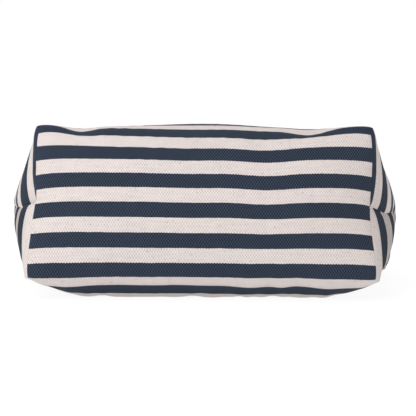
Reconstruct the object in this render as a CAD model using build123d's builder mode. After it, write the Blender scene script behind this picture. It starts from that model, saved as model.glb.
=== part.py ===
"""Striped canvas mail sack lying on one panel: boxed base, zip mouth, card holder, two web handles.

Millimetres. X runs along the base, +Y from the base to the mouth, +Z up from the resting face.
The origin is under the middle of the whole sack, handles included.
"""
import os
from math import cos, exp, radians, sin

from build123d import *

os.makedirs("parts", exist_ok=True)

# ---- Driving dimensions -------------------------------------------------------------------------
base_length = 292.0          # flat boxed base, along X
base_width = 133.0           # flat boxed base, between its two long folds
base_lean = radians(18)      # the base leans back while the sack lies on its lower panel
seat_height = 19.6           # lower long fold above the resting face
cloth = 1.5                  # canvas wall
sack_reach = 305.0           # lower long fold to mouth, along Y
hem_length = 45.0            # straight flat zone at the mouth
lip_height = 20.0            # outside height of the closed mouth
lip_half_width = 192.0       # mouth, centre to side seam
strap_width = 30.0
strap_thickness = 2.5
strap_spacing = 150.0        # centre to centre of one handle's two ends
leg_length = 46.0            # straight run of a handle's end past the mouth
zip_half_length = 150.0
tooth_pitch = 3.0
eyelet_bore_radius = 4.5
eyelet_spread = 120.0        # eyelet to sack centre line, along X

# ---- Places worked out from them ----------------------------------------------------------------
handle_reach = leg_length + strap_spacing / 2 + strap_width / 2
front_y = -(sack_reach + handle_reach) / 2
mouth_y = front_y + sack_reach
lip_y = mouth_y - hem_length
lip_bottom = strap_thickness
lip_top = lip_bottom + lip_height
lip_middle = (lip_bottom + lip_top) / 2
zip_plane = mouth_y - 2.5    # Y of the middle of the zip tape
base_top_y = front_y + base_width * sin(base_lean)
base_top_z = seat_height + base_width * cos(base_lean)

# ---- Sack: cross-sections -----------------------------------------------------------------------
floor_dip = 2.0              # how far the lower panel's arcs dip, to be cut flat at the resting face
seam_start = base_length / 2 - 4
with BuildLine(Plane.YZ) as upper_profile:
    Bezier((base_top_y, base_top_z), (base_top_y + 117, base_top_z + 25),
           (lip_y - 66, lip_top + 24), (lip_y, lip_top))
with BuildLine(Plane.YZ) as lower_profile:
    Bezier((front_y, seat_height), (front_y + 24, -floor_dip - 8),
           (lip_y - 150, -floor_dip), (lip_y, lip_bottom))


def seam_half_width(t):
    """Sack centre to the valley of a side seam: it widens quickly at first, as a boxed corner does."""
    return seam_start + (lip_half_width - seam_start) * (1 - exp(-4 * t)) / (1 - exp(-4))


def section_frame(t, push=0.0):
    """Plane of the cross-section at t, moved in by push, and half the distance between the panels."""
    low = lower_profile.edge() @ t
    high = upper_profile.edge() @ t
    inward = (high - low).normalized().cross(Vector(1, 0, 0))
    plane = Plane(origin=(low + high) / 2 + inward * push, x_dir=(1, 0, 0), z_dir=-inward)
    return plane, (high - low).length / 2


def corner_heights(t, half_height):
    """Upper and lower corners above the middle of the section: the lower panel lies flatter."""
    crown = half_height * (1 - exp(-10 * t)) * (1 - t * t)
    return half_height - 0.3 - 0.43 * crown, -half_height + 0.3 + 0.18 * crown


def draw_section(t, inset=0.0, push=0.0):
    """Outline of the sack, t from 0 at the base to 1 at the lip, shrunk by inset and moved in by push."""
    plane, half_height = section_frame(t, push)
    half_height = half_height - inset
    upper_z, lower_z = corner_heights(t, half_height)
    seam_x = seam_half_width(t) - 1.3 * inset
    corner_x = base_length / 2 + 4 * t - inset
    seam_z = (upper_z + lower_z) / 2
    bulge = 0.5 + 2.0 * t + 9 * (1 - exp(-10 * t)) * (1 - t * t)
    side_x = (corner_x + seam_x) / 2 + bulge
    with BuildSketch(plane) as section:
        with BuildLine():
            ThreePointArc((-corner_x, upper_z), (0, half_height), (corner_x, upper_z))
            ThreePointArc((corner_x, upper_z), (side_x, (upper_z + seam_z) / 2), (seam_x, seam_z))
            ThreePointArc((seam_x, seam_z), (side_x, (lower_z + seam_z) / 2), (corner_x, lower_z))
            ThreePointArc((corner_x, lower_z), (0, -half_height), (-corner_x, lower_z))
            ThreePointArc((-corner_x, lower_z), (-side_x, (lower_z + seam_z) / 2), (-seam_x, seam_z))
            ThreePointArc((-seam_x, seam_z), (-side_x, (upper_z + seam_z) / 2), (-corner_x, upper_z))
        make_face()
    return section.sketch


stations = (0.0, 0.03, 0.08, 0.18, 0.32, 0.5, 0.7, 0.86, 1.0)
with BuildPart() as sack_outside:
    loft([draw_section(place) for place in stations])
    extrude(draw_section(1.0), amount=-hem_length)
    split(bisect_by=Plane.XY, keep=Keep.TOP)
with BuildPart() as sack_inside:
    loft([draw_section(place, cloth, cloth if place == 0 else 0) for place in stations])
    extrude(draw_section(1.0, cloth), amount=-hem_length - 1)
    split(bisect_by=Plane.XY.offset(cloth), keep=Keep.TOP)
eyelet_y = mouth_y - 26
barrel_radius = eyelet_bore_radius + 0.8
eyelet_places = [(-eyelet_spread, eyelet_y), (eyelet_spread, eyelet_y)]
with BuildPart() as sack_body:
    add(sack_outside.part)
    add(sack_inside.part, mode=Mode.SUBTRACT)
    with BuildSketch(Plane.XY):
        with Locations(*eyelet_places):
            Circle(barrel_radius)
    extrude(amount=lip_top + 5, mode=Mode.SUBTRACT)
sack_body.part.label = "sack_body"
export_step(sack_body.part, "parts/sack_body.step")

# ---- Inside the base: reinforcing lining and the two boxed-corner bindings ----------------------
base_plane = Plane(
    origin=(0, front_y + base_width / 2 * sin(base_lean), seat_height + base_width / 2 * cos(base_lean)),
    x_dir=(1, 0, 0), z_dir=(0, cos(base_lean), -sin(base_lean)))
lining_thickness = 1.5
lining_margin = 7.0
with BuildPart() as base_lining:
    with BuildSketch(base_plane.offset(cloth + 0.1)):
        RectangleRounded(base_length - 2 * lining_margin, base_width - 8, 8)
    extrude(amount=lining_thickness)
base_lining.part.label = "base_lining"
export_step(base_lining.part, "parts/base_lining.step")

binding_width = 9.0
binding_thickness = 1.4
corner_binding_length = base_width - 20
binding_foot = cloth + lining_thickness + 0.3


def corner_binding(side):
    """Bound edge of one boxed corner's cross seam, standing on the lining."""
    with BuildPart() as binding:
        with BuildSketch(base_plane.offset(binding_foot)):
            with Locations((side * (seam_start - 9), 0)):
                Rectangle(binding_thickness, corner_binding_length)
        extrude(amount=binding_width)
    return binding


left_corner_binding = corner_binding(-1)
left_corner_binding.part.label = "left_corner_binding"
export_step(left_corner_binding.part, "parts/left_corner_binding.step")
right_corner_binding = corner_binding(1)
right_corner_binding.part.label = "right_corner_binding"
export_step(right_corner_binding.part, "parts/right_corner_binding.step")


def side_binding(side):
    """Bound edge of one side seam, standing inwards from the seam's valley up to the mouth."""
    sections = []
    for step in range(14):
        t = 0.18 + 0.055 * step
        plane, half_height = section_frame(t)
        seam_x = seam_half_width(t) - 3.4 * cloth - binding_width / 2
        with BuildSketch(plane) as section:
            with Locations((side * seam_x, sum(corner_heights(t, half_height)) / 2)):
                Rectangle(binding_width, binding_thickness)
        sections.append(section.sketch)
    with BuildPart() as binding:
        loft(sections, ruled=True)
    return binding


left_side_binding = side_binding(-1)
left_side_binding.part.label = "left_side_binding"
export_step(left_side_binding.part, "parts/left_side_binding.step")
right_side_binding = side_binding(1)
right_side_binding.part.label = "right_side_binding"
export_step(right_side_binding.part, "parts/right_side_binding.step")

# ---- Hem facings inside the mouth ---------------------------------------------------------------
facing_thickness = 1.0
facing_depth = hem_length - 6
facing_gap = 0.3             # keeps the facing clear of the slightly crowned panel
facing_half_width = base_length / 2 - 4
middle_plane = Plane.XY.offset(lip_middle)
with BuildPart() as upper_hem_facing:
    with BuildSketch(Plane.XY.offset(lip_top - cloth - facing_gap)):
        with Locations((0, mouth_y - 3 - facing_depth / 2)):
            Rectangle(2 * facing_half_width, facing_depth)
        with Locations(*eyelet_places):
            Circle(barrel_radius, mode=Mode.SUBTRACT)
    extrude(amount=-facing_thickness)
upper_hem_facing.part.label = "upper_hem_facing"
export_step(upper_hem_facing.part, "parts/upper_hem_facing.step")
with BuildPart() as lower_hem_facing:
    mirror(upper_hem_facing.part, about=middle_plane)
lower_hem_facing.part.label = "lower_hem_facing"
export_step(lower_hem_facing.part, "parts/lower_hem_facing.step")

# ---- Zip: tapes, teeth, stops and end tabs ------------------------------------------------------
tape_thickness = 1.0
tape_half_length = zip_half_length + 3
tape_top = lip_top - cloth - facing_gap - facing_thickness
spine_inner = lip_middle + 1.5
spine_outer = spine_inner + 1.2
tooth_width = 1.2
tooth_depth = 2.6            # teeth, along Y
chain_half_length = zip_half_length - 3
with BuildPart() as upper_zip_tape:
    with BuildSketch(Plane.YZ):
        with BuildLine():
            Polyline((mouth_y - 13, tape_top), (zip_plane + tape_thickness / 2, tape_top),
                     (zip_plane + tape_thickness / 2, spine_outer), (zip_plane - tape_thickness / 2, spine_outer),
                     (zip_plane - tape_thickness / 2, tape_top - tape_thickness),
                     (mouth_y - 13, tape_top - tape_thickness), close=True)
        make_face()
    extrude(amount=tape_half_length, both=True)
upper_zip_tape.part.label = "upper_zip_tape"
export_step(upper_zip_tape.part, "parts/upper_zip_tape.step")
with BuildPart() as lower_zip_tape:
    mirror(upper_zip_tape.part, about=middle_plane)
lower_zip_tape.part.label = "lower_zip_tape"
export_step(lower_zip_tape.part, "parts/lower_zip_tape.step")


def zip_teeth(side, shift):
    """One row of teeth on its spine; side is 1 for the upper row, -1 for the lower one."""
    tooth_count = int(2 * chain_half_length / tooth_pitch)
    outline = [(-chain_half_length, lip_middle + side * (spine_outer - lip_middle))]
    for number in range(tooth_count):
        left = -chain_half_length + shift + number * tooth_pitch
        root = lip_middle + side * (spine_inner - lip_middle)
        tip = lip_middle - side * 1.1
        outline += [(left, root), (left, tip), (left + tooth_width, tip), (left + tooth_width, root)]
    outline += [(chain_half_length, lip_middle + side * (spine_inner - lip_middle)),
                (chain_half_length, lip_middle + side * (spine_outer - lip_middle))]
    outline.insert(1, (-chain_half_length, lip_middle + side * (spine_inner - lip_middle)))
    with BuildPart() as teeth:
        with BuildSketch(Plane.XZ.offset(-zip_plane)):
            with BuildLine():
                Polyline(*outline, close=True)
            make_face()
        extrude(amount=tooth_depth / 2, both=True)
    return teeth


upper_zip_teeth = zip_teeth(1, 0.2)
upper_zip_teeth.part.label = "upper_zip_teeth"
export_step(upper_zip_teeth.part, "parts/upper_zip_teeth.step")
lower_zip_teeth = zip_teeth(-1, 0.2 + tooth_pitch / 2)
lower_zip_teeth.part.label = "lower_zip_teeth"
export_step(lower_zip_teeth.part, "parts/lower_zip_teeth.step")

slider_length = 9.0
slider_x = chain_half_length - 1.5
stop_x = slider_x + slider_length / 2 + 1.3
with BuildPart() as zip_stops:
    with BuildSketch(Plane.XZ.offset(-zip_plane)):
        with Locations((stop_x, lip_middle + 1.9), (stop_x, lip_middle - 1.9)):
            Rectangle(1.8, 1.5)
        with Locations((-chain_half_length - 1.4, lip_middle)):
            Rectangle(2.4, 5.2)
    extrude(amount=1.5, both=True)
zip_stops.part.label = "zip_stops"
export_step(zip_stops.part, "parts/zip_stops.step")

end_tab_length = 12.0
with BuildPart() as zip_end_tabs:
    with BuildSketch(Plane.XY.offset(lip_middle - 4)):
        with Locations((tape_half_length + end_tab_length / 2 + 0.1, mouth_y - 6.5),
                       (-tape_half_length - end_tab_length / 2 - 0.1, mouth_y - 6.5)):
            Rectangle(end_tab_length, 12)
    extrude(amount=8)
    fillet(zip_end_tabs.edges().filter_by(Axis.X), 2)
zip_end_tabs.part.label = "zip_end_tabs"
export_step(zip_end_tabs.part, "parts/zip_end_tabs.step")

# ---- Zip slider and pull ------------------------------------------------------------------------
plate_inner = 1.8            # plate faces, from the middle of the tape along Y
plate_outer = 3.0
slider_half_height = 4.4
flange = 0.8                 # rim of each plate, turned in towards the tape
pin_y = zip_plane + 4.9
pin_radius = 0.6
ear_spread = 2.9             # pull ear to zip centre line
pull_length = 27.0
with BuildPart() as zip_slider:
    for side in (-1, 1):
        with BuildSketch(Plane.XZ.offset(-zip_plane - side * plate_inner)):
            with Locations((slider_x, lip_middle)):
                RectangleRounded(slider_length, 2 * slider_half_height, 2)
        extrude(amount=-side * (plate_outer - plate_inner))
        with BuildSketch(Plane.XZ.offset(-zip_plane - side * plate_inner)):
            with Locations((slider_x, lip_middle + slider_half_height - flange / 2),
                           (slider_x, lip_middle - slider_half_height + flange / 2)):
                Rectangle(slider_length - 4, flange)
        extrude(amount=side * (plate_inner - 0.9))
    with BuildSketch(Plane.XZ.offset(-zip_plane)):
        with Locations((slider_x + slider_length / 2 - 1.3, lip_middle)):
            Rectangle(2.0, 2.2)
    extrude(amount=plate_inner + 0.2, both=True)
    with BuildSketch(Plane.XZ.offset(-zip_plane - plate_outer)):
        with Locations((slider_x, lip_middle + ear_spread), (slider_x, lip_middle - ear_spread)):
            Rectangle(3, 0.8)
    extrude(amount=-(pin_y - zip_plane - plate_outer) - 1)
    with BuildSketch(Plane.XY.offset(lip_middle)):
        with Locations((slider_x, pin_y)):
            Circle(pin_radius)
    extrude(amount=ear_spread, both=True)
zip_slider.part.label = "zip_slider"
export_step(zip_slider.part, "parts/zip_slider.step")

with BuildPart() as zip_pull:
    with BuildSketch(Plane.XY.offset(lip_middle)):
        with Locations((slider_x, pin_y)):
            Circle(1.35)
        with Locations((slider_x - 3, pin_y)):
            Rectangle(6, 1.2)
        with Locations((slider_x, pin_y)):
            Circle(pin_radius + 0.08, mode=Mode.SUBTRACT)
    extrude(amount=2.2, both=True)
    with BuildSketch(Plane.XZ.offset(-pin_y)):
        with Locations((slider_x - 5 - (pull_length - 5) / 2, lip_middle)):
            RectangleRounded(pull_length - 5, 6.4, 3)
        with Locations((slider_x - pull_length + 4, lip_middle)):
            Circle(1.6, mode=Mode.SUBTRACT)
    extrude(amount=0.6, both=True)
zip_pull.part.label = "zip_pull"
export_step(zip_pull.part, "parts/zip_pull.step")

# ---- Handles: sewn ends and free loops ----------------------------------------------------------
anchor_length = 40.0
joint_gap = 0.2              # each side of the fold line at the mouth
strap_places = [(-strap_spacing / 2, 0), (strap_spacing / 2, 0)]
with BuildPart() as upper_handle_ends:
    with BuildSketch(Plane.XY.offset(lip_top).shift_origin((0, mouth_y - joint_gap - anchor_length / 2, lip_top))):
        with Locations(*strap_places):
            Rectangle(strap_width, anchor_length)
    extrude(amount=strap_thickness)
upper_handle_ends.part.label = "upper_handle_ends"
export_step(upper_handle_ends.part, "parts/upper_handle_ends.step")
with BuildPart() as lower_handle_ends:
    mirror(upper_handle_ends.part, about=middle_plane)
lower_handle_ends.part.label = "lower_handle_ends"
export_step(lower_handle_ends.part, "parts/lower_handle_ends.step")

loop_start = mouth_y + joint_gap
loop_turn = mouth_y + leg_length
loop_end = mouth_y + handle_reach
with BuildPart() as lower_handle:
    with BuildSketch(Plane.XY):
        with BuildLine() as loop_line:
            Line((-strap_spacing / 2, loop_start), (-strap_spacing / 2, loop_turn))
            ThreePointArc((-strap_spacing / 2, loop_turn), (0, loop_turn + strap_spacing / 2),
                          (strap_spacing / 2, loop_turn))
            Line((strap_spacing / 2, loop_turn), (strap_spacing / 2, loop_start))
        trace(loop_line.line, strap_width)
    extrude(amount=strap_thickness)
lower_handle.part.label = "lower_handle"
export_step(lower_handle.part, "parts/lower_handle.step")

droop_start = mouth_y + 8
droop_end = mouth_y + 48
lying_middle = 1.5 * strap_thickness + 0.3
with BuildPart() as upper_handle:
    with BuildSketch(Plane.XY):
        trace(loop_line.line, strap_width)
    extrude(amount=lip_top + 10)
    with BuildSketch(Plane.YZ):
        with BuildLine() as droop_line:
            FilletPolyline((loop_start, lip_top + strap_thickness / 2), (droop_start, lip_top + strap_thickness / 2),
                           (droop_end, lying_middle), (loop_end + 1, lying_middle), radius=7)
        trace(droop_line.line, strap_thickness)
    extrude(amount=strap_spacing, both=True, mode=Mode.INTERSECT)
upper_handle.part.label = "upper_handle"
export_step(upper_handle.part, "parts/upper_handle.step")

# ---- Hem eyelets --------------------------------------------------------------------------------
flange_radius = 8.0
flange_thickness = 0.8
washer_top = lip_top - cloth - facing_gap - facing_thickness
with BuildPart() as upper_hem_eyelets:
    with BuildSketch(Plane.XY.offset(lip_top)):
        with Locations(*eyelet_places):
            Circle(flange_radius)
            Circle(eyelet_bore_radius, mode=Mode.SUBTRACT)
    extrude(amount=flange_thickness)
    fillet(upper_hem_eyelets.faces().sort_by(Axis.Z)[-1].outer_wire().edges(), 0.5)
    with BuildSketch(Plane.XY.offset(lip_top)):
        with Locations(*eyelet_places):
            Circle(barrel_radius)
            Circle(eyelet_bore_radius, mode=Mode.SUBTRACT)
    extrude(amount=washer_top - flange_thickness - lip_top)
    with BuildSketch(Plane.XY.offset(washer_top)):
        with Locations(*eyelet_places):
            Circle(flange_radius)
            Circle(eyelet_bore_radius, mode=Mode.SUBTRACT)
    extrude(amount=-flange_thickness)
upper_hem_eyelets.part.label = "upper_hem_eyelets"
export_step(upper_hem_eyelets.part, "parts/upper_hem_eyelets.step")
with BuildPart() as lower_hem_eyelets:
    mirror(upper_hem_eyelets.part, about=middle_plane)
lower_hem_eyelets.part.label = "lower_hem_eyelets"
export_step(lower_hem_eyelets.part, "parts/lower_hem_eyelets.step")

# ---- Card holder on the upper hem ---------------------------------------------------------------
holder_width = 92.0
holder_depth = 36.0
holder_height = 2.6
holder_rim = 5.0
slot_floor = 0.4
slot_height = 1.3
holder_y = mouth_y - 4 - holder_depth / 2
with BuildPart() as card_holder_frame:
    with BuildSketch(Plane.XY.offset(lip_top)):
        with Locations((0, holder_y)):
            RectangleRounded(holder_width, holder_depth, 3)
    extrude(amount=holder_height)
    fillet(card_holder_frame.faces().sort_by(Axis.Z)[-1].edges(), 0.5)
    with BuildSketch(Plane.XY.offset(lip_top + slot_floor)):
        with Locations((0, holder_y + 2)):
            Rectangle(holder_width - 6, holder_depth - 2)
    extrude(amount=slot_height, mode=Mode.SUBTRACT)
    with BuildSketch(Plane.XY.offset(lip_top + slot_floor)):
        with Locations((0, holder_y)):
            Rectangle(holder_width - 2 * holder_rim - 4, holder_depth - 2 * holder_rim)
    extrude(amount=holder_height, mode=Mode.SUBTRACT)
card_holder_frame.part.label = "card_holder_frame"
export_step(card_holder_frame.part, "parts/card_holder_frame.step")

film_thickness = 0.4
with BuildPart() as card_window:
    with BuildSketch(Plane.XY.offset(lip_top + slot_floor + slot_height)):
        with Locations((0, holder_y + 1.5)):
            Rectangle(holder_width - 7, holder_depth - 4)
    extrude(amount=-film_thickness)
card_window.part.label = "card_window"
export_step(card_window.part, "parts/card_window.step")

card_thickness = 0.4
with BuildPart() as address_card:
    with BuildSketch(Plane.XY.offset(lip_top + slot_floor + 0.15)):
        with Locations((0, holder_y + 2.3)):
            Rectangle(holder_width - 7, holder_depth - 2)
    extrude(amount=card_thickness)
address_card.part.label = "address_card"
export_step(address_card.part, "parts/address_card.step")
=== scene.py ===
"""Visual model of the striped canvas mail sack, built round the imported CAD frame.

Metres. X runs along the base, +Y from the base to the mouth, +Z up from the floor.
Cloth places are given in pattern coordinates: across the sack, and up from the lower base fold.
"""
from math import cos, pi, radians, sin

import bmesh
import bpy
import numpy as np
from mathutils import Matrix, Vector


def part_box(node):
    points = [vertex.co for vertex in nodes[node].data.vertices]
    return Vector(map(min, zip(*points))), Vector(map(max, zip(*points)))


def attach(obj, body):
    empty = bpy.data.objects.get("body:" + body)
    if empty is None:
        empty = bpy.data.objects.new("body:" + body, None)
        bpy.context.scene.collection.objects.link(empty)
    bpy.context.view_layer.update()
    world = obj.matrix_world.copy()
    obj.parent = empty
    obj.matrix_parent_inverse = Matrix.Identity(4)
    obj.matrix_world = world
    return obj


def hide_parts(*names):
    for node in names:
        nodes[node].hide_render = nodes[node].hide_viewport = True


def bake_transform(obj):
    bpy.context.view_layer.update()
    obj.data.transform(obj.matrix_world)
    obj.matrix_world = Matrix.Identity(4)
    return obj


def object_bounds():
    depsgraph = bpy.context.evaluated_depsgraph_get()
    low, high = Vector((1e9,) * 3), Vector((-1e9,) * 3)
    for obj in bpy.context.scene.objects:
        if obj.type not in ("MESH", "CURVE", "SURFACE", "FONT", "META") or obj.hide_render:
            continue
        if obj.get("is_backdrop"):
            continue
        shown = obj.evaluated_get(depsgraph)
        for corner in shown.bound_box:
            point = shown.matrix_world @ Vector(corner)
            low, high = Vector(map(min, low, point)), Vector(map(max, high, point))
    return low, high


MM = 0.001
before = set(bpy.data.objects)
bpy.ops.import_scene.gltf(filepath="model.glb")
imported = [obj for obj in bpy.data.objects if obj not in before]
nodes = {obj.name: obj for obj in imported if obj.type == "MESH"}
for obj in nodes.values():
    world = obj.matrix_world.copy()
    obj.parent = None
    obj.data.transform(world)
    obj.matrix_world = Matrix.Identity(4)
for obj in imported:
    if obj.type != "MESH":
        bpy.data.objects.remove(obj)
cad_low, cad_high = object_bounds()

# ---- Sizes of the sack ------------------------
HALF_LENGTH = 146 * MM               # base, centre line to boxed corner
BASE_WIDTH = 133 * MM
QUARTER = HALF_LENGTH + BASE_WIDTH / 2   # middle of a panel to the side seam
PANEL_DEPTH = 316 * MM               # base fold to mouth, along the cloth
STRIPE = 12.7 * MM
CLOTH = 1.2 * MM
FLOOR_GAP = 0.4 * MM
HEM = 45 * MM
STRAP_HALF_WIDTH = 15 * MM
STRAP_HALF_THICK = 1.2 * MM
front_y = cad_low.y
mouth_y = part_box("sack_body")[1].y
lip_y = mouth_y - HEM
lip_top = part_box("upper_handle_ends")[0].z
lip_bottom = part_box("lower_handle_ends")[1].z


def ease(x):
    """Smooth step from 0 to 1."""
    x = np.clip(x, 0, 1)
    return x * x * (3 - 2 * x)


def hill(x, centre, width):
    return np.exp(-((x - centre) / width) ** 2)


# ---- Sack: the base panel ------------------------
END_LEAN = radians(15.5)             # the base's short edges, from upright
END_SEAT = 18.9 * MM                 # lower fold above the floor, at the corners
MIDDLE_SEAT = 21.3 * MM
LEAN_AT = 45 * MM                    # up the pillow's middle line, where it leans by LEAN
LEAN = radians(3.5)
UPPER_CURVE = radians(0.53)          # growth of the lean in each millimetre above LEAN_AT
LOWER_CURVE = radians(0.45)          # and below it
BASE_SAG = 0.3 * MM                  # the whole base, below what its seats give
CORNER_ROUND = 2.8 * MM              # how far a corner's tip is rounded off, along X and along Z
SEAM_SLIP = 2.6 * MM                 # the right side seam meets the base this much below its middle


def drawn_in(u, w):
    """How far the base's short edges are drawn in at w: most where a side seam pulls on their middle."""
    left = -1.3 * MM + 4.0 * MM * ease(w / (75 * MM)) + 1.4 * MM * hill(w, 72 * MM, 14 * MM)
    right = 1.3 * MM + 1.1 * MM * w / BASE_WIDTH + 4.2 * MM * hill(w, 55 * MM, 34 * MM)
    return np.where(u < 0, left, right)


def middle_lean(w):
    """Lean of the stuffed base's middle line, w up from the lower fold."""
    above = w - LEAN_AT
    return LEAN + np.where(above > 0, UPPER_CURVE, LOWER_CURVE) * above / MM


# Dents in the upper fold: middle, width, depth at the fold and depth in the panel behind it.
FOLD_DIPS = ((-106 * MM, 15 * MM, 5.2 * MM, 0.8 * MM), (90 * MM, 20 * MM, 4.2 * MM, 2.6 * MM))


def ripple(x):
    """Depth of the small waves along the lower fold, below 0 where one rises."""
    # Middle, width and depth of each wave, in millimetres.
    waves = ((38, 14, 1.4), (64, 7, 1.2), (100, 14, 1.5), (-112, 15, 1.2), (-20, 12, -0.4), (-70, 14, -0.3))
    return sum(depth * MM * hill(x, centre * MM, width * MM) for centre, width, depth in waves)


def base_pattern(u, w):
    """Up-pattern coordinate of the base's mesh rows, shape (len(w), len(u)): they dip at the right seam."""
    dip = SEAM_SLIP * np.exp(-(HALF_LENGTH - u) / (14 * MM)) * (u > 0)
    return w[:, None] - dip * hill(w, BASE_WIDTH / 2, 26 * MM)[:, None]


def base_surface(u, w):
    """Outside of the base: u from the middle, w up from the lower fold. Shape (len(w), len(u), 3)."""
    w = base_pattern(u, w)
    fine = np.linspace(0, BASE_WIDTH, 267)
    share = np.abs(u) / HALF_LENGTH
    pillow = 1 - share ** 4
    lean = (1 - pillow) * END_LEAN + pillow * middle_lean(fine)[:, None]
    lean = (lean[1:] + lean[:-1]) / 2
    step = fine[1] - fine[0]
    start = np.zeros((1, len(u)))
    y = front_y + np.vstack([start, np.cumsum(np.sin(lean) * step, 0)])
    z = END_SEAT + (MIDDLE_SEAT - END_SEAT) * pillow + np.vstack([start, np.cumsum(np.cos(lean) * step, 0)])
    y = np.stack([np.interp(w[:, i], fine, y[:, i]) for i in range(len(u))], 1)
    z = np.stack([np.interp(w[:, i], fine, z[:, i]) for i in range(len(u))], 1)
    high = ease(w / BASE_WIDTH / 0.7)
    sag = 2.4 * MM * hill(u, 52 * MM, 26 * MM) + 0.9 * MM * hill(u, -10 * MM, 30 * MM)
    z = z - high * sag
    at_fold = ease((w / BASE_WIDTH - 0.93) / 0.07)
    for centre, width, depth, _ in FOLD_DIPS:
        z = z - at_fold * depth * hill(u, centre, width)
    z = z - 0.4 * ripple(u) * np.exp(-w / (18 * MM))
    x = u - np.sign(u) * share ** 6 * drawn_in(u, w)
    to_end = HALF_LENGTH - np.abs(u)
    y = y + 2.0 * MM * np.exp(-to_end / (3.0 * MM))
    for fold_w, towards, blunt in ((BASE_WIDTH, -1, 1.0), (0, 1, 0.5)):
        tip = blunt * CORNER_ROUND * np.exp(-np.hypot(to_end, w - fold_w) / (5 * MM))
        x = x - np.sign(u) * tip
        z = z + towards * tip
    return np.stack([x, y, z - BASE_SAG], 2)


# ---- Sack: the two panels ------------------------
def bezier(a, b, c, d, count=60):
    t = np.linspace(0, 1, count)[:, None]
    a, b, c, d = (np.array(p, float) for p in (a, b, c, d))
    return (1 - t) ** 3 * a + 3 * (1 - t) ** 2 * t * b + 3 * (1 - t) * t * t * c + t ** 3 * d


def lengths(line):
    return np.r_[0, np.cumsum(np.linalg.norm(np.diff(line, axis=0), axis=1))]


def middle_profiles():
    """The panels' middle lines in Y and Z, from the base folds to the mouth."""
    low_fold, up_fold = base_surface(np.array([0.0]), np.array([0, BASE_WIDTH]))[:, 0, 1:]
    crest = np.array([front_y + 92.5 * MM, 150.5 * MM])
    leaving = radians(57)
    upper = np.vstack([
        bezier(up_fold, up_fold + 18 * MM * np.array([sin(leaving), cos(leaving)]),
               crest - (24 * MM, 0), crest)[:-1],
        bezier(crest, crest + (45 * MM, 0), (lip_y - 66 * MM, lip_top + 21.5 * MM), (lip_y, lip_top))[:-1],
        [[lip_y, lip_top], [mouth_y, lip_top]]])
    rest = np.array([front_y + 25 * MM, FLOOR_GAP])
    leaving = radians(51.5)
    lower = np.vstack([
        bezier(low_fold, low_fold + 15 * MM * np.array([sin(leaving), -cos(leaving)]),
               rest - (1 * MM, 0), rest)[:-1],
        bezier(rest, rest + (60 * MM, 0), (lip_y - 60 * MM, FLOOR_GAP), (lip_y, lip_bottom))[:-1],
        [[lip_y, lip_bottom], [mouth_y, lip_bottom]]])
    return upper, lower


def follow(line, h):
    """Points of a middle line at h along the cloth: true length near the base, its share at the mouth."""
    length = lengths(line)
    slack = length[-1] - PANEL_DEPTH
    place = h + slack * ease((h / PANEL_DEPTH - 0.2) / 0.8)
    return np.stack([np.interp(place, length, line[:, i]) for i in (0, 1)], 1)


def seam_half_width(h):
    """Centre line to side seam: a boxed corner flares quickly, then hardly at all."""
    mouth_half_width = 192 * MM
    stuffed = 142 * MM + 36 * MM * np.tanh(h / (50 * MM))
    return stuffed + (mouth_half_width - stuffed) * ease((h / PANEL_DEPTH - 0.25) / 0.6)


UPPER_FULLNESS = 1.02                # power of a section's rounding, 1 for a quarter of an ellipse
LOWER_FULLNESS = 0.84


def quarter_section(half_width, half_height, crown, fullness):
    """X and Z from a panel's middle to the side seam, as long as the cloth is where that can be."""
    phi = np.linspace(0, pi / 2, 90)
    flat_count = 59
    low = 0.3 * half_width
    high = half_width - 0.02 * half_height
    for _ in range(28):
        flat = (low + high) / 2
        round_x = flat + (half_width - flat) * np.sin(phi) ** fullness
        round_z = (half_height - crown) * np.abs(np.cos(phi)) ** fullness
        x = np.r_[np.linspace(0, flat, flat_count + 1)[:-1], round_x]
        z = np.r_[np.full(flat_count, half_height - crown), round_z]
        z = z + crown * 0.5 * (1 + np.cos(pi * np.clip(x / flat, 0, 1)))
        length = lengths(np.stack([x, z], 1))
        if length[-1] < QUARTER:
            low = flat
        else:
            high = flat
    return x, z, length / length[-1]


def sections(side, s, h):
    """Stuffed cross-sections of one panel, side 1 for the upper one. Shape (len(h), len(s), 3)."""
    upper, lower = (follow(line, h) for line in middle_profiles())
    share = np.abs(s) / QUARTER
    points = np.zeros((len(h), len(s), 3))
    for row, place in enumerate(h):
        centre = (upper[row] + lower[row]) / 2
        up = (upper[row] - lower[row]) * side / 2
        half_height = np.hypot(*up)
        crown = 0.0
        if side > 0:
            crown = 6 * MM * ease(place / (40 * MM)) * (1 - ease((place - 150 * MM) / (120 * MM)))
        crown = min(crown, 0.3 * half_height)
        fullness = UPPER_FULLNESS if side > 0 else LOWER_FULLNESS
        x, z, length = quarter_section(seam_half_width(place), half_height, crown, fullness)
        points[row, :, 0] = np.interp(share, length, x) * np.sign(s)
        points[row, :, 1:] = centre + np.interp(share, length, z)[:, None] * up / half_height
    return points


def base_border(side, s):
    """The base's edge as a panel meets it, s across the panel."""
    over = np.clip(np.abs(s) - HALF_LENGTH, 0, None)
    w = BASE_WIDTH - over if side > 0 else over
    u = np.clip(s, -HALF_LENGTH, HALF_LENGTH)
    return np.array([base_surface(u[i:i + 1], w[i:i + 1])[0, 0] for i in range(len(s))])


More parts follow.
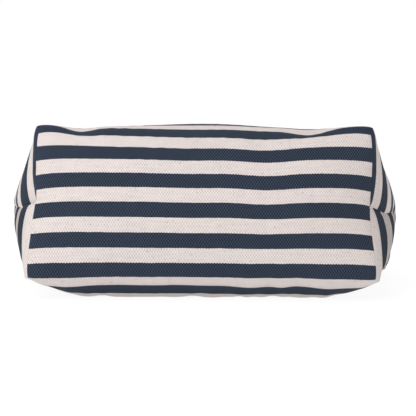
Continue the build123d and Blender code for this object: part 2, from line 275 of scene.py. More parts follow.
# Bulges and hollows of the boxed ends: panel, end, edge that it is beside, how far out,
# distance from the base, and width.
UPPER = 1
LOWER = -1
LEFT = -1
RIGHT = 1
FOLD = 0
SEAM = 1
BULGES = (
    (UPPER, LEFT, FOLD, 2.0 * MM, 28 * MM, 10 * MM),
    (UPPER, LEFT, FOLD, -2.5 * MM, 68 * MM, 25 * MM),
    (UPPER, LEFT, SEAM, -2.5 * MM, 14 * MM, 10 * MM),
    (UPPER, RIGHT, FOLD, 2.5 * MM, 29 * MM, 13 * MM),
    (UPPER, RIGHT, SEAM, -1.0 * MM, 28 * MM, 12 * MM),
    (LOWER, LEFT, FOLD, 2.5 * MM, 22 * MM, 18 * MM),
    (LOWER, LEFT, SEAM, 3.5 * MM, 16 * MM, 16 * MM),
    (LOWER, RIGHT, FOLD, 6.5 * MM, 35 * MM, 25 * MM),
    (LOWER, RIGHT, SEAM, -2.0 * MM, 22 * MM, 14 * MM),
)


SEAM_DROP = 3.4 * MM                 # how far the right side seam hangs below its section's middle
# The lower panel's lift off the floor near its ends: the belly, and the tips of the boxed corners.
LEFT_BELLY_LIFT = 4.8 * MM
RIGHT_BELLY_LIFT = 3.2 * MM
LEFT_TIP_LIFT = 4.5 * MM
RIGHT_TIP_LIFT = 3.0 * MM


def panel_surface(side, s, h):
    """Outside of a panel: s across, from side seam to side seam, and h from the base to the mouth."""
    points = sections(side, s, h)
    border = base_border(side, s)
    points = points + (border - points[0]) * np.exp(-h / (20 * MM))[:, None, None]
    outward = np.sign(s)
    near = (ease(h / (6 * MM)) * (1 - ease((h - 8 * MM) / (16 * MM))))[:, None]
    if side > 0:
        for centre, width, _, dent in FOLD_DIPS:
            points[..., 2] -= dent * hill(points[..., 0], centre, width) * near
    on_side = ease((np.abs(s) - HALF_LENGTH) / (10 * MM))
    off_seam = QUARTER - np.abs(s)
    groove = 0.6 * np.exp(-off_seam / (4 * MM)) + 0.4 * np.exp(-(off_seam / (16 * MM)) ** 2)
    off_base = 1 - np.exp(-h / (6 * MM))
    groove_depth = (1.2 + 6.5 * np.exp(-h / (45 * MM))) * MM * off_base
    points[..., 0] -= outward * groove * on_side * groove_depth[:, None]
    to_seam = np.clip((np.abs(s) - HALF_LENGTH) / (QUARTER - HALF_LENGTH), 0, 1)
    for panel, end, edge, out, place, width in BULGES:
        if panel == side:
            beside_edge = to_seam if edge == SEAM else 1 - to_seam
            bulge = out * hill(h, place, width) * off_base
            points[..., 0] += outward * (outward == end) * on_side * beside_edge * bulge[:, None]
    drop = SEAM_DROP * hill(h, 48 * MM, 45 * MM) * (1 - np.exp(-h / (15 * MM)))
    points[..., 2] -= drop[:, None] * np.exp(-off_seam / (25 * MM)) * (outward > 0)
    if side < 0:
        beside = 1 - ease((np.abs(s) - HALF_LENGTH) / (22 * MM))
        belly = ease((h - 9 * MM) / (14 * MM)) * (1 - ease((h - 24 * MM) / (26 * MM)))
        belly_lift = np.where(outward < 0, LEFT_BELLY_LIFT, RIGHT_BELLY_LIFT)
        points[..., 2] += belly_lift * beside * ease((np.abs(s) - 98 * MM) / (40 * MM)) * belly[:, None]
        tip = ease(h / (12 * MM)) * (1 - ease((h - 14 * MM) / (20 * MM)))
        tip_lift = np.where(outward < 0, LEFT_TIP_LIFT, RIGHT_TIP_LIFT) * beside
        tip_lift = tip_lift * ease((np.abs(s) - 130 * MM) / (14 * MM))
        points[..., 2] += tip_lift * tip[:, None]
        slack = ripple(s) + np.where(outward < 0, 0.4 * MM, 1.2 * MM) * hill(np.abs(s), 122 * MM, 16 * MM)
        by_fold = ease(h / (10 * MM)) * (1 - ease((h - 16 * MM) / (16 * MM)))
        points[..., 2] -= slack * by_fold[:, None]
        points[..., 2] = points[..., 2].clip(FLOOR_GAP)
    seam_roll = 1.3 * MM * np.exp(-h / (2.5 * MM)) * (1 - np.exp(-h / (0.5 * MM)))
    points[..., 0] += outward * on_side * seam_roll[:, None]
    return points


# ---- Sack: mesh ------------------------
def spaced(length, edge, cell):
    """Steps from 0 to length, at the given ones first and then even ones of about cell."""
    rest = max(1, round((length - edge[-1]) / cell))
    return np.r_[edge, np.linspace(edge[-1], length, rest + 1)[1:]]


seam_steps = np.array([0, 1.3, 3.2, 6.2]) * MM
from_seam = spaced(HALF_LENGTH, seam_steps, 5.2 * MM)
u_lines = np.r_[-HALF_LENGTH + from_seam, (HALF_LENGTH - from_seam)[::-1][1:]]
side_steps = spaced(BASE_WIDTH / 2, seam_steps, 4.6 * MM)          # from the side seam to the fold
w_lines = np.r_[(BASE_WIDTH / 2 - side_steps)[::-1], (BASE_WIDTH / 2 + side_steps)[1:]]
s_lines = np.r_[-QUARTER + side_steps[:-1], u_lines, (QUARTER - side_steps)[::-1][1:]]
near_h = np.array([0, 1.4, 3.4, 6.4, 10, 14, 18, 22.5, 27.5, 33, 39]) * MM
h_lines = spaced(PANEL_DEPTH, near_h, 7.0 * MM)


class ClothMesh:
    """The sack's mesh: points, quads and their pattern coordinates, from grids that share borders."""

    def __init__(self):
        self.points = []
        self.faces = []
        self.uvs = []

    def add_points(self, points):
        first = len(self.points)
        self.points.extend(points)
        return np.arange(first, len(self.points))

    def add_grid(self, ids, across, up, flip):
        """Quads between rows of point ids; up holds one pattern coordinate a row, or one a point."""
        rows, columns = ids.shape
        up = np.broadcast_to(np.reshape(up, (rows, -1)), ids.shape)
        for r in range(rows - 1):
            for c in range(columns - 1):
                ring = [(r, c), (r, c + 1), (r + 1, c + 1), (r + 1, c)]
                if flip:
                    ring.reverse()
                self.faces.append([int(ids[place]) for place in ring])
                self.uvs.extend((across[j], up[i, j]) for i, j in ring)


def build_sack_mesh():
    """Returns the mesh and its index grids: base (w, u) and each panel (h, s)."""
    cloth = ClothMesh()
    base = base_surface(u_lines, w_lines)
    base_ids = cloth.add_points(base.reshape(-1, 3)).reshape(base.shape[:2])
    middle = len(w_lines) // 2
    grids = {"base": base_ids}
    for side, name in ((1, "upper"), (-1, "lower")):
        surface = panel_surface(side, s_lines, h_lines)
        ids = np.zeros(surface.shape[:2], int)
        rim = base_ids[-1] if side > 0 else base_ids[0]
        left = base_ids[middle:-1, 0] if side > 0 else base_ids[middle:0:-1, 0]
        right = base_ids[middle:-1, -1] if side > 0 else base_ids[middle:0:-1, -1]
        ids[0] = np.r_[left, rim, right[::-1]]
        if side > 0:
            ids[1:] = cloth.add_points(surface[1:].reshape(-1, 3)).reshape(surface[1:].shape[:2])
        else:
            inner = surface[1:, 1:-1]
            ids[1:, 1:-1] = cloth.add_points(inner.reshape(-1, 3)).reshape(inner.shape[:2])
            ids[1:, 0] = grids["upper"][1:, 0]
            ids[1:, -1] = grids["upper"][1:, -1]
        grids[name] = ids
    cloth.add_grid(base_ids, u_lines, base_pattern(u_lines, w_lines), flip=False)
    cloth.add_grid(grids["upper"], s_lines, BASE_WIDTH + h_lines, flip=False)
    cloth.add_grid(grids["lower"], s_lines, -h_lines, flip=True)
    return cloth, grids


def new_object(name, points, faces, uvs=None):
    mesh = bpy.data.meshes.new(name)
    mesh.from_pydata([tuple(p) for p in points], [], faces)
    if uvs is not None:
        layer = mesh.uv_layers.new(name="pattern")
        layer.data.foreach_set("uv", np.array(uvs, np.float32).ravel())
    mesh.polygons.foreach_set("use_smooth", [True] * len(mesh.polygons))
    mesh.update()
    made = bpy.data.objects.new(name, mesh)
    bpy.context.scene.collection.objects.link(made)
    return made


def coordinates(thing):
    flat = np.zeros(len(thing.data.vertices) * 3)
    thing.data.vertices.foreach_get("co", flat)
    return flat.reshape(-1, 3)


SETTLE_FRAMES = 22


def settle(thing, hold):
    """Lets the cloth slacken and settle on the floor, held towards its shape by the weights in hold."""
    group = thing.vertex_groups.new(name="hold")
    for index, weight in enumerate(hold):
        group.add([index], float(weight), "REPLACE")
    floor = new_object("settling_floor", [(-1, -1, 0), (1, -1, 0), (1, 1, 0), (-1, 1, 0)], [(0, 1, 2, 3)])
    floor.modifiers.new("collision", "COLLISION")
    floor.collision.thickness_outer = 0.5 * MM
    cloth = thing.modifiers.new("cloth", "CLOTH")
    settings = {
        "quality": 6, "mass": 0.02, "tension_stiffness": 20, "compression_stiffness": 20,
        "shear_stiffness": 8, "bending_stiffness": 1.5, "vertex_group_mass": "hold", "pin_stiffness": 1.0,
        "shrink_min": -0.018, "use_pressure": True, "uniform_pressure_force": 0.35}
    for key, value in settings.items():
        setattr(cloth.settings, key, value)
    cloth.collision_settings.use_collision = True
    cloth.collision_settings.distance_min = 0.4 * MM
    cloth.point_cache.frame_start = 1
    cloth.point_cache.frame_end = SETTLE_FRAMES
    scene = bpy.context.scene
    for number in range(1, SETTLE_FRAMES + 1):
        scene.frame_set(number)
    graph = bpy.context.evaluated_depsgraph_get()
    settled = thing.evaluated_get(graph).to_mesh()
    flat = np.zeros(len(settled.vertices) * 3)
    settled.vertices.foreach_get("co", flat)
    thing.modifiers.remove(cloth)
    scene.frame_set(1)
    bpy.data.objects.remove(floor)
    start = coordinates(thing)
    move = flat.reshape(-1, 3) - start
    cap = (2.0 * MM + 7 * MM * (1 - hold))[:, None]      # 2 mm where fully held, 9 mm where free
    size = np.linalg.norm(move, axis=1, keepdims=True)
    move = move * np.minimum(1, cap / np.maximum(size, 1e-9))
    thing.data.vertices.foreach_set("co", (start + move).ravel())
    thing.data.update()


def apply_modifiers(thing):
    """Makes what the modifiers show the object's own mesh."""
    graph = bpy.context.evaluated_depsgraph_get()
    mesh = bpy.data.meshes.new_from_object(thing.evaluated_get(graph))
    thing.modifiers.clear()
    thing.data = mesh


def subdivide(thing, levels=1):
    modifier = thing.modifiers.new("subdivision", "SUBSURF")
    modifier.levels = modifier.render_levels = levels
    modifier.boundary_smooth = "PRESERVE_CORNERS"
    apply_modifiers(thing)


def thicken(thing, thickness, offset=-1):
    modifier = thing.modifiers.new("thickness", "SOLIDIFY")
    modifier.thickness = thickness
    modifier.offset = offset
    modifier.use_even_offset = True
    apply_modifiers(thing)


def cut_holes(thing, places, radius):
    """Opens round holes in near-level cloth, at these X and Y."""
    mesh = bmesh.new()
    mesh.from_mesh(thing.data)
    for place in places:
        centre = Vector(place)
        inside = [f for f in mesh.faces if (f.calc_center_median().xy - centre).length < radius]
        rim = {v for f in inside for v in f.verts}
        bmesh.ops.delete(mesh, geom=inside, context="FACES")
        for vertex in rim:
            if vertex.is_valid:
                out = vertex.co.xy - centre
                vertex.co.xy = centre + out.normalized() * radius
    mesh.to_mesh(thing.data)
    mesh.free()


# How firmly the settling cloth keeps its shape, 1 for fully: the panels, the base, and the panels near it.
PANEL_HOLD = 0.12
BASE_HOLD = 0.55
NEAR_BASE_HOLD = 0.85


def build_sack():
    cloth, grids = build_sack_mesh()
    sack = new_object("sack_cloth", cloth.points, cloth.faces, cloth.uvs)
    hold = np.full(len(cloth.points), PANEL_HOLD)
    hold[grids["base"].ravel()] = BASE_HOLD
    for name in ("upper", "lower"):
        ids = grids[name]
        loosening = ease((h_lines - 36 * MM) / (50 * MM))
        near = NEAR_BASE_HOLD - (NEAR_BASE_HOLD - PANEL_HOLD) * loosening
        hem = ease((h_lines - (PANEL_DEPTH - 75 * MM)) / (30 * MM))
        weight = np.maximum(near, hem)
        hold[ids] = np.maximum(hold[ids], weight[:, None])
        hold[ids[h_lines > PANEL_DEPTH - 46 * MM]] = 1.0
    settle(sack, hold)
    return sack, grids, coordinates(sack)


sack, sack_grids, sack_points = build_sack()
eyelet_places = [(x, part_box("upper_hem_eyelets")[0].y + 8 * MM) for x in (-120 * MM, 120 * MM)]
subdivide(sack)
cut_holes(sack, eyelet_places, radius=5.6 * MM)
thicken(sack, CLOTH)


# ---- Materials ------------------------
class Shader:
    """A material's nodes, written as expressions of output sockets; finish returns the material."""

    def __init__(self, name, colour, roughness, **settings):
        self.material = bpy.data.materials.new(name)
        self.material.use_nodes = True
        self.tree = self.material.node_tree
        self.surface = self.tree.nodes["Principled BSDF"]
        self.surface.inputs["Base Color"].default_value = (*colour, 1)
        self.surface.inputs["Roughness"].default_value = roughness
        for key, value in settings.items():
            socket = key.replace("_", " ").title().replace("Ior", "IOR")
            self.surface.inputs[socket].default_value = value

    def node(self, kind, inputs=(), output=0, **settings):
        made = self.tree.nodes.new(kind)
        for key, value in settings.items():
            setattr(made, key, value)
        for key, value in dict(inputs).items():
            if isinstance(value, bpy.types.NodeSocket):
                self.tree.links.new(value, made.inputs[key])
            else:
                made.inputs[key].default_value = value
        return made.outputs[output]

    def math(self, operation, a, b=0.0):
        return self.node("ShaderNodeMath", {0: a, 1: b}, operation=operation)

    def add(self, a, b):
        return self.math("ADD", a, b)

    def times(self, a, b):
        return self.math("MULTIPLY", a, b)

    def uv(self):
        """Pattern coordinates in metres: across and along."""
        split = self.tree.nodes.new("ShaderNodeSeparateXYZ")
        place = self.node("ShaderNodeUVMap", uv_map="pattern")
        self.tree.links.new(place, split.inputs[0])
        return split.outputs[0], split.outputs[1]

    def vector(self, x, y, z=0.0):
        return self.node("ShaderNodeCombineXYZ", {0: x, 1: y, 2: z})

    def place(self):
        return self.node("ShaderNodeTexCoord", output="Object")

    def noise(self, vector, scale, detail=2.0):
        return self.node("ShaderNodeTexNoise", {"Vector": vector, "Scale": scale, "Detail": detail})

    def ramp(self, value, low, high, to_low=0.0, to_high=1.0):
        return self.node("ShaderNodeMapRange", {0: value, 1: low, 2: high, 3: to_low, 4: to_high})

    def mix(self, factor, a, b):
        made = self.tree.nodes.new("ShaderNodeMix")
        made.data_type = "RGBA"
        for index, value in ((0, factor), (6, a), (7, b)):
            if isinstance(value, bpy.types.NodeSocket):
                self.tree.links.new(value, made.inputs[index])
            else:
                made.inputs[index].default_value = value if index == 0 else (*value, 1)
        return made.outputs[2]

    def shade(self, colour, factor):
        """Colour times a brightness."""
        return self.node("ShaderNodeVectorMath", {0: colour, "Scale": factor}, operation="SCALE")

    def finish(self, colour=None, roughness=None, height=None, depth=0.2 * MM, strength=1.0):
        if colour is not None:
            self.tree.links.new(colour, self.surface.inputs["Base Color"])
        if roughness is not None:
            self.tree.links.new(roughness, self.surface.inputs["Roughness"])
        if height is not None:
            bump = self.node("ShaderNodeBump", {"Height": height, "Distance": depth, "Strength": strength})
            self.tree.links.new(bump, self.surface.inputs["Normal"])
        return self.material


def dim(colour, factor):
    return tuple(c * factor for c in colour)


def plain_weave(shader, across, along, warp, weft):
    """Over-and-under of a plain weave: above 0 where the warp is on top, below 0 where the weft is."""
    warp_wave = shader.math("COSINE", shader.times(across, pi / warp))
    weft_wave = shader.math("COSINE", shader.times(along, pi / weft))
    return shader.times(warp_wave, weft_wave)


CREAM = (0.708, 0.636, 0.614)
NAVY = (0.0125, 0.0175, 0.030)
NAVY_WARP = (0.047, 0.064, 0.098)       # the warp yarns, a little worn
WARP = 1.15 * MM                        # yarn spacing, wide enough to show in a small picture
WEFT = 1.85 * MM
CLOUDY_RANGE = (0.38, 0.62)             # where the broad unevenness of the cloth starts and ends
SERRATION = 0.22 * MM                   # how far a stripe's edge steps from yarn to yarn
NAVY_HALF = 0.255                       # half a navy stripe, as a share of a stripe pair


def canvas(name, striped=True, colour=CREAM):
    """Plain-weave cotton canvas woven from coloured yarns, with stripes along the weft."""
    shader = Shader(name, colour, 0.9, specular_ior_level=0.12, sheen_weight=0.02, sheen_roughness=0.6)
    across, along = shader.uv()
    flat = shader.vector(across, along)
    wander = shader.times(shader.math("SUBTRACT", shader.noise(flat, 220.0), 0.5), 0.45 * MM)
    across = shader.add(across, wander)
    along = shader.add(along, wander)
    crossing = plain_weave(shader, across, along, WARP, WEFT)
    bulk = shader.math("POWER", shader.math("ABSOLUTE", crossing), 0.55)
    weft_yarn = shader.noise(shader.vector(shader.times(across, 60.0), shader.times(along, 1 / WEFT)), 1.0)
    warp_yarn = shader.noise(shader.vector(shader.times(across, 1 / WARP), shader.times(along, 60.0)), 1.0)
    cloudy = shader.noise(flat, 14.0, 3.0)
    slub = shader.add(shader.ramp(weft_yarn, 0.3, 0.7, -0.05, 0.05),
                      shader.ramp(warp_yarn, 0.3, 0.7, -0.03, 0.03))
    if striped:
        serration = shader.times(crossing, SERRATION)
        turn = shader.math("FRACT", shader.math("DIVIDE", shader.add(along, serration), 2 * STRIPE))
        away = shader.math("ABSOLUTE", shader.math("SUBTRACT", turn, 0.25))
        is_cream = shader.ramp(away, NAVY_HALF - 0.004, NAVY_HALF + 0.004)
        worn = shader.times(shader.ramp(crossing, -0.5, 0.7),
                            shader.ramp(cloudy, *CLOUDY_RANGE, 0.85, 1.0))
        navy = shader.mix(worn, NAVY, NAVY_WARP)
        # Painted shade and highlight of the weave on the cream: darker where the yarns dip and between them,
        # lighter on the raised warp, by an amount that varies in patches.
        weave_shade_strength = shader.ramp(cloudy, *CLOUDY_RANGE, 0.15, 0.21)
        weave_shade_pattern = shader.ramp(crossing, -0.6, 0.6, -1.0, 0.5)
        painted_weave_shade = shader.add(shader.times(weave_shade_pattern, weave_shade_strength), 1.0)
        fleck = shader.ramp(shader.noise(flat, 420.0, 1.0), 0.67, 0.73, 1.0, 0.72)
        cream = shader.mix(cloudy, colour, dim(colour, 0.965))
        cream = shader.shade(shader.shade(cream, painted_weave_shade), fleck)
        tint = shader.mix(is_cream, navy, cream)
    else:
        tint = shader.mix(cloudy, colour, dim(colour, 0.94))
        # Painted shade: darker in the gaps between the yarns.
        tint = shader.shade(tint, shader.ramp(bulk, 0.05, 0.55, 0.84, 1.0))
    tint = shader.shade(tint, shader.add(slub, 1.0))
    if striped:
        underside_painted_shade = shader.ramp(along, -8 * MM, -26 * MM, 1.0, 0.72)     # painted shade: darker under the sack, towards the floor
        tint = shader.shade(tint, underside_painted_shade)
    roughness = shader.ramp(bulk, 0, 1, 0.97, 0.86)
    height = shader.add(bulk, shader.times(slub, 3.0))
    return shader.finish(tint, roughness, height, 0.15 * MM, 0.8)


def set_material(thing, material):
    thing.data.materials.clear()
    thing.data.materials.append(material)


striped_canvas = canvas("striped_canvas")
set_material(sack, striped_canvas)
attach(sack, "sack")
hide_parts("sack_body")


# ---- Cloth pieces inside the sack ------------------------
def grid_object(name, points, across, along, flip=False):
    """A sheet from a grid of points (along, across, 3), with its pattern coordinates."""
    cloth = ClothMesh()
    ids = cloth.add_points(points.reshape(-1, 3)).reshape(points.shape[:2])
    cloth.add_grid(ids, across, along, flip)
    return new_object(name, cloth.points, cloth.faces, cloth.uvs)


def finish_sheet(thing, thickness, material, node):
    """Rounds and thickens a flat piece of cloth, and puts it in place of its CAD node."""
    subdivide(thing)
    thicken(thing, thickness, offset=0)
    set_material(thing, material)
    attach(thing, "sack")
    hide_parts(node)


def grid_normals(points):
    along, across = np.gradient(points, axis=0), np.gradient(points, axis=1)
    normal = np.cross(across, along)
    return normal / np.linalg.norm(normal, axis=2, keepdims=True)


lining_cloth = canvas("base_canvas", striped=False, colour=(0.74, 0.69, 0.62))
tape_cloth = canvas("binding_tape", striped=False, colour=(0.71, 0.65, 0.57))
facing_cloth = canvas("hem_facing", striped=False, colour=(0.74, 0.69, 0.62))
base_points = sack_points[sack_grids["base"]]
inward = -grid_normals(base_surface(u_lines, w_lines))      # before it settles, so without small buckles
SKIP = len(seam_steps) - 1
lining_points = (base_points + 3.2 * MM * inward)[1:-1, SKIP:-SKIP]
lining = grid_object("base_lining_cloth", lining_points, u_lines[SKIP:-SKIP], w_lines[1:-1])
finish_sheet(lining, 1.2 * MM, lining_cloth, "base_lining")

BINDING = 9 * MM                         # width of the folded tape


def folded_edge():
    """Section of a tape folded over a seam's raw edges: reach from the seam, and distance to one side."""
    turn = np.linspace(0, pi, 7)
    leg = np.linspace(0, BINDING - 0.5 * MM, 5)
    reach = np.r_[leg[:-1], BINDING - 0.5 * MM + 0.5 * MM * np.sin(turn), leg[::-1][1:]]
    aside = 0.45 * MM * np.r_[np.ones(4), np.cos(turn), -np.ones(4)]
    return reach, aside


def bind(name, points, along):
    """A folded tape with its rows of points at these places along the seam."""
    across = np.arange(points.shape[1]) * 1.3 * MM
    binding = grid_object(name + "_tape", points, across, along)
    finish_sheet(binding, 0.5 * MM, tape_cloth, name)


def bind_corner(name, side):
    """Bound edge of a boxed corner's cross seam, standing on the lining."""
    column = np.argmin(np.abs(u_lines - side * 135 * MM))
    rows = (w_lines > 8 * MM) & (w_lines < BASE_WIDTH - 8 * MM)
    foot = base_points[rows, column] + 4.6 * MM * inward[rows, column]
    reach, aside = folded_edge()
    wave = 0.5 * MM * np.sin(w_lines[rows] / (7 * MM))
    points = foot[:, None] + reach[None, :, None] * inward[rows, column][:, None]
    points[..., 0] += aside + wave[:, None] * reach / BINDING
    bind(name, points, w_lines[rows])


def bind_side(name, side):
    """Bound edge of a side seam, standing inwards from its valley."""
    rows = (h_lines > 50 * MM) & (h_lines < 240 * MM)
    seam = sack_points[sack_grids["upper"][rows, -1 if side > 0 else 0]]
    reach, aside = folded_edge()
    points = np.repeat(seam[:, None], len(reach), 1)
    points[..., 0] -= side * (4.2 * MM + reach)
    points[..., 2] += aside + 0.6 * MM * np.sin(h_lines[rows] / (9 * MM))[:, None] * reach / BINDING
    bind(name, points, h_lines[rows])


for side, word in ((-1, "left"), (1, "right")):
    bind_corner(word + "_corner_binding", side)
    bind_side(word + "_side_binding", side)


# ---- Mouth: facings, zip tapes and end tabs ------------------------
def face_hem(name, side):
    low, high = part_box(name)
    x = np.linspace(low.x, high.x, 61)
    y = np.linspace(low.y, high.y, 10)
    points = np.zeros((len(y), len(x), 3))
    points[..., 0] = x
    points[..., 1] = y[:, None]
    points[..., 2] = (low.z + high.z) / 2 + 0.12 * MM * np.sin(x / (11 * MM)) * np.sin(y / (6 * MM))[:, None]
    facing = grid_object(name + "_cloth", points, x, y)
    cut_holes(facing, eyelet_places, radius=5.5 * MM)
    finish_sheet(facing, 0.9 * MM, facing_cloth, name)


def lay_tape(name, side, material):
    """Half of the zip's tape: sewn under the hem, then turned down to the teeth."""
    low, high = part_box(name)
    half = 0.4 * MM
    root, turn = high.z - half, low.z
    if side < 0:
        root, turn = low.z + half, high.z
    edge = high.y - half
    bend = np.linspace(0, pi / 2, 6)
    round_by = 1.4 * MM
    line = [(low.y + half, root), (low.y + 4 * MM, root)]
    line += [(edge - round_by * (1 - sin(a)), root - side * round_by * (1 - cos(a))) for a in bend]
    line += [(edge, (root - side * round_by + turn) / 2), (edge, turn)]
    line = np.array(line)
    x = np.linspace(low.x, high.x, 90)
    points = np.zeros((len(line), len(x), 3))
    points[..., 0] = x
    points[..., 1:] = line[:, None]
    points[..., 1] += 0.1 * MM * np.sin(x / (8 * MM))
    tape = grid_object(name + "_web", points, x, lengths(line))
    finish_sheet(tape, 0.8 * MM, material, name)


def webbing(name, rib, colour):
    """Heavy narrow fabric: ribs across, each with a herringbone of weft floats."""
    shader = Shader(name, colour, 0.85, specular_ior_level=0.3, sheen_weight=0.15, sheen_roughness=0.5)
    across, along = shader.uv()
    flat = shader.vector(across, along)
    ribs = shader.math("ABSOLUTE", shader.math("SINE", shader.times(across, pi / (2 * rib))))
    lean = shader.times(shader.math("PINGPONG", across, 2 * rib), 0.9)
    pick_turn = shader.times(shader.add(along, lean), pi / rib)
    picks = shader.math("ABSOLUTE", shader.math("SINE", pick_turn))
    height = shader.times(shader.math("POWER", ribs, 0.5), shader.math("POWER", picks, 0.6))
    fuzz = shader.ramp(shader.noise(flat, 900.0, 3.0), 0.3, 0.7, 0.85, 1.15)
    worn = shader.ramp(shader.noise(flat, 25.0, 3.0), 0.35, 0.75, 0.0, 0.25)
    light = tuple(min(1.0, 2.0 * c + 0.01) for c in colour)
    # Painted shade: darker in the hollows between ribs and picks; worn patches lighter.
    tint = shader.mix(worn, shader.mix(height, dim(colour, 0.5), colour), light)
    tint = shader.shade(tint, fuzz)
    roughness = shader.ramp(height, 0, 1, 0.95, 0.8)
    return shader.finish(tint, roughness, height, 0.35 * MM, 0.9)


navy_tape = webbing("zip_tape", rib=0.7 * MM, colour=(0.035, 0.048, 0.085))
navy_webbing = webbing("webbing", rib=1.1 * MM, colour=(0.036, 0.048, 0.080))
for side, word in ((1, "upper"), (-1, "lower")):
    face_hem(word + "_hem_facing", side)
    lay_tape(word + "_zip_tape", side, navy_tape)


def fold_end_tabs(name, material):
    """A folded tab over each end of the tape: a soft rounded block with a fold along its end."""
    low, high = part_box(name)
    length = 12 * MM
    half = np.array([length / 2, (high.y - low.y) / 2, (high.z - low.z) / 2])
    count = 28
    turn = np.linspace(0, 2 * pi, count, endpoint=False)
    climb = np.linspace(-pi / 2, pi / 2, 17)
    points, faces, uvs = [], [], []
    for centre_x in (low.x + length / 2, high.x - length / 2):
        centre = np.array([centre_x, (low.y + high.y) / 2, (low.z + high.z) / 2])
        first = len(points)
        for b in climb:
            for a in turn:
                ball = np.array([sin(b), cos(b) * cos(a), cos(b) * sin(a)])
                block = np.sign(ball) * np.abs(ball) ** 0.38
                pressed = 1 - 0.18 * np.exp(-(block[2] / 0.18) ** 2) * abs(block[1])
                points.append(centre + half * block * (1, pressed, 1))
        for r in range(len(climb) - 1):
            for c in range(count):
                ring = [(r, c), (r, c + 1), (r + 1, c + 1), (r + 1, c)]
                faces.append([first + i * count + j % count for i, j in ring][::-1])
                uvs.extend([(j * 1.3 * MM, i * 0.8 * MM) for i, j in ring][::-1])
    tabs = new_object(name + "_cloth", points, faces, uvs)
    mesh = bmesh.new()
    mesh.from_mesh(tabs.data)
    bmesh.ops.remove_doubles(mesh, verts=mesh.verts, dist=0.01 * MM)
    mesh.to_mesh(tabs.data)
    mesh.free()
    set_material(tabs, material)
    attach(tabs, "sack")
    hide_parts(name)


fold_end_tabs("zip_end_tabs", navy_tape)


# ---- Stitching ------------------------
class Stitches:
    """Rows of thread stitches gathered into one mesh."""

    SIDES = 6
    RINGS = (-1, -0.8, -0.35, 0.35, 0.8, 1)      # places along a stitch, -1 and 1 at its ends

    def __init__(self, name, length=2.5 * MM, pitch=3.3 * MM, radius=0.32 * MM):
        self.name = name
        self.length = length
        self.pitch = pitch
        self.radius = radius
        self.points = []
        self.faces = []

    def row(self, start, end, out):
        """Stitches from start to end, standing on a surface that faces out."""
        start, end, out = (np.array(v, float) for v in (start, end, out))
        run = np.linalg.norm(end - start)
        ahead = (end - start) / run
        count = max(1, round(run / self.pitch))
        beside = np.cross(out, ahead)
        for number in range(count):
            centre = start + ahead * run * (number + 0.5) / count
            first = len(self.points)
            for share in self.RINGS:
                lift = self.radius * (0.75 - 1.3 * share ** 4)
                thick = self.radius * (1 - 0.55 * share ** 6)
                for turn in np.linspace(0, 2 * pi, self.SIDES, endpoint=False):
                    self.points.append(centre + ahead * share * self.length / 2
                                       + beside * thick * cos(turn) + out * (lift + thick * 0.8 * sin(turn)))
            last = first + (len(self.RINGS) - 1) * self.SIDES
            for ring in range(first, last, self.SIDES):
                for k in range(self.SIDES):
                    a = ring + k
                    b = ring + (k + 1) % self.SIDES
                    self.faces.append((a, b, b + self.SIDES, a + self.SIDES))
            self.faces.append(tuple(first + k for k in range(self.SIDES))[::-1])
            self.faces.append(tuple(last + k for k in range(self.SIDES)))

    def box_and_cross(self, low, high, out):
        """A sewn rectangle with its two diagonals, between two corners of equal height."""
        z = low[2]
        corners = [(low[0], low[1], z), (high[0], low[1], z), (high[0], high[1], z), (low[0], high[1], z)]
        for a, b in ((0, 1), (1, 2), (2, 3), (3, 0), (0, 2), (1, 3)):
            self.row(corners[a], corners[b], out)

    def make(self, material):
        thing = new_object(self.name, self.points, self.faces)
        set_material(thing, material)
        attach(thing, "sack")
        return thing


def thread(name, colour):
    shader = Shader(name, colour, 0.6, specular_ior_level=0.4, sheen_weight=0.1)
    place = shader.place()
    twist = shader.node("ShaderNodeTexWave", {"Vector": place, "Scale": 900.0, "Distortion": 1.0}, output=1)
    # Painted shade: the thread darker in the grooves of its twist.
    twist_shaded = shader.mix(twist, dim(colour, 0.8), colour)
    uneven = shader.ramp(shader.noise(place, 300.0), 0.3, 0.7, 0.9, 1.1)
    return shader.finish(shader.shade(twist_shaded, uneven), height=twist, depth=0.08 * MM)


cream_thread = thread("cream_thread", (0.72, 0.66, 0.56))
hem_rows = Stitches("hem_stitching")
row_half = 178 * MM
for y in (mouth_y - 4 * MM, mouth_y - 6.5 * MM, mouth_y - 42 * MM):
    hem_rows.row((-row_half, y, lip_top), (row_half, y, lip_top), (0, 0, 1))
    hem_rows.row((-row_half, y, lip_bottom), (row_half, y, lip_bottom), (0, 0, -1))
hem_rows.make(cream_thread)


# ---- Handles ------------------------
def handle_line(height_at):
    """Centre line of a handle and how far each point banks: sewn end, leg, half-circle, leg, sewn end."""
    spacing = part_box("lower_handle_ends")[1].x - STRAP_HALF_WIDTH
    anchor = mouth_y - 40 * MM
    turn_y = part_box("lower_handle")[1].y - STRAP_HALF_WIDTH - spacing
    count = 36
    legs = np.linspace(anchor, turn_y, count)
    arc = np.linspace(0, pi, 60)[1:-1]
    x = np.r_[np.full(count, -spacing), -spacing * np.cos(arc), np.full(count, spacing)]
    y = np.r_[legs, turn_y + spacing * np.sin(arc), legs[::-1]]
    bank = radians(13) * np.r_[np.zeros(count), np.sin(arc) ** 0.8, np.zeros(count)]
    bank = np.convolve(np.pad(bank, 4, mode="edge"), np.ones(9) / 9, mode="valid")
    return np.stack([x, y, height_at(y) + STRAP_HALF_WIDTH * np.sin(bank)], 1), bank


